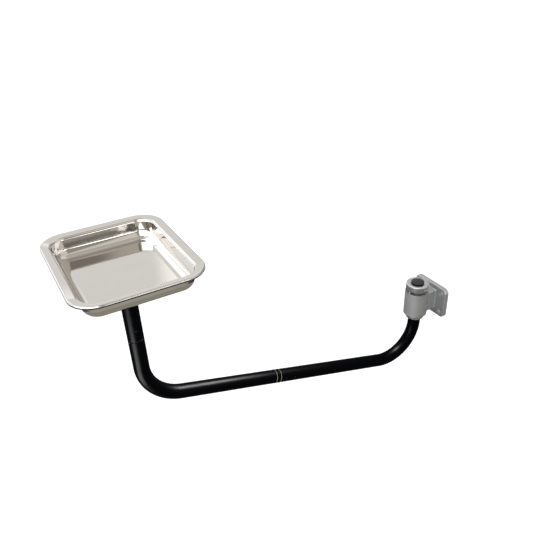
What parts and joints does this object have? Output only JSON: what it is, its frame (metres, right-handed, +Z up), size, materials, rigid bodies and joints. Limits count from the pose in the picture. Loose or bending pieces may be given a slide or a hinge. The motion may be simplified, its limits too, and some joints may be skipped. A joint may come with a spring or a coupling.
{
  "type": "swing-arm instrument tray",
  "caption": "Shallow rectangular steel tray on a bent black tube arm, which swings from a bolted bracket to hold instruments beside a treatment chair.",
  "frame": {"origin": "centre of the bracket's mounting face, in the plane of the four bolt holes", "axes": "+X points out of the mounting face into the chair, +Z is up, and the arm reaches away along -X in the XZ plane at rest"},
  "size_m": [0.7567, 0.247, 0.4411],
  "materials": {
    "black_coat": "satin black powder coat",
    "tray_steel": "mirror-polished stainless steel",
    "cast_alloy": "fine blasted casting with machined faces",
    "turned_steel": "turned and satin",
    "fastener_steel": "bright zinc",
    "black_oxide": "black oxide on steel",
    "black_acetal": "smooth moulded",
    "grey_acetal": "smooth turned, dull grey-green",
    "rubber": "matte"
  },
  "bodies": {
    "bracket": {"mount_bracket": "cast_alloy", "pivot_bush_lower": "black_acetal", "pivot_bush_upper": "black_acetal"},
    "inner_arm": {"inner_arm_tube": "black_coat", "lower_collar": "turned_steel", "lower_collar_screw": "black_oxide", "pivot_washer": "turned_steel", "pivot_spring_washer": "fastener_steel", "pivot_collar": "turned_steel", "pivot_roll_pin": "fastener_steel", "stop_pin": "fastener_steel", "pivot_cap": "black_acetal", "joint_spindle": "turned_steel", "joint_roll_pins": "black_oxide", "joint_ring": "grey_acetal", "joint_collar": "black_coat", "joint_o_rings": "rubber"},
    "outer_arm": {"outer_arm_tube": "black_coat", "joint_bush_flanged": "grey_acetal", "joint_bush_plain": "grey_acetal", "joint_dog_screw": "black_oxide", "swivel_bush_upper": "black_acetal", "swivel_bush_lower": "black_acetal", "swivel_dog_screw": "black_oxide"},
    "tray_head": {"tray_hub": "black_coat", "hub_spindle": "turned_steel", "hub_roll_pin": "black_oxide", "swivel_o_ring": "rubber", "seat_plate": "black_coat", "seat_pad": "rubber", "tray": "tray_steel", "tray_studs": "fastener_steel", "stud_washers": "turned_steel", "dome_nuts": "fastener_steel"}
  },
  "joints": [
    {"name": "arm_swing", "type": "hinge", "parent": "bracket", "child": "inner_arm", "pos_m": [-0.048, 0, 0], "axis": [0, 0, 1], "range_deg": [-80, 80]},
    {"name": "arm_roll", "type": "hinge", "parent": "inner_arm", "child": "outer_arm", "pos_m": [-0.65872, 0, 0.0226], "axis": [0.9622, 0, -0.2723], "range_deg": [-90, 90]},
    {"name": "tray_swivel", "type": "hinge", "parent": "outer_arm", "child": "tray_head", "pos_m": [-0.65872, 0, 0.0226], "axis": [0, 0, 1], "continuous": true}
  ]
}
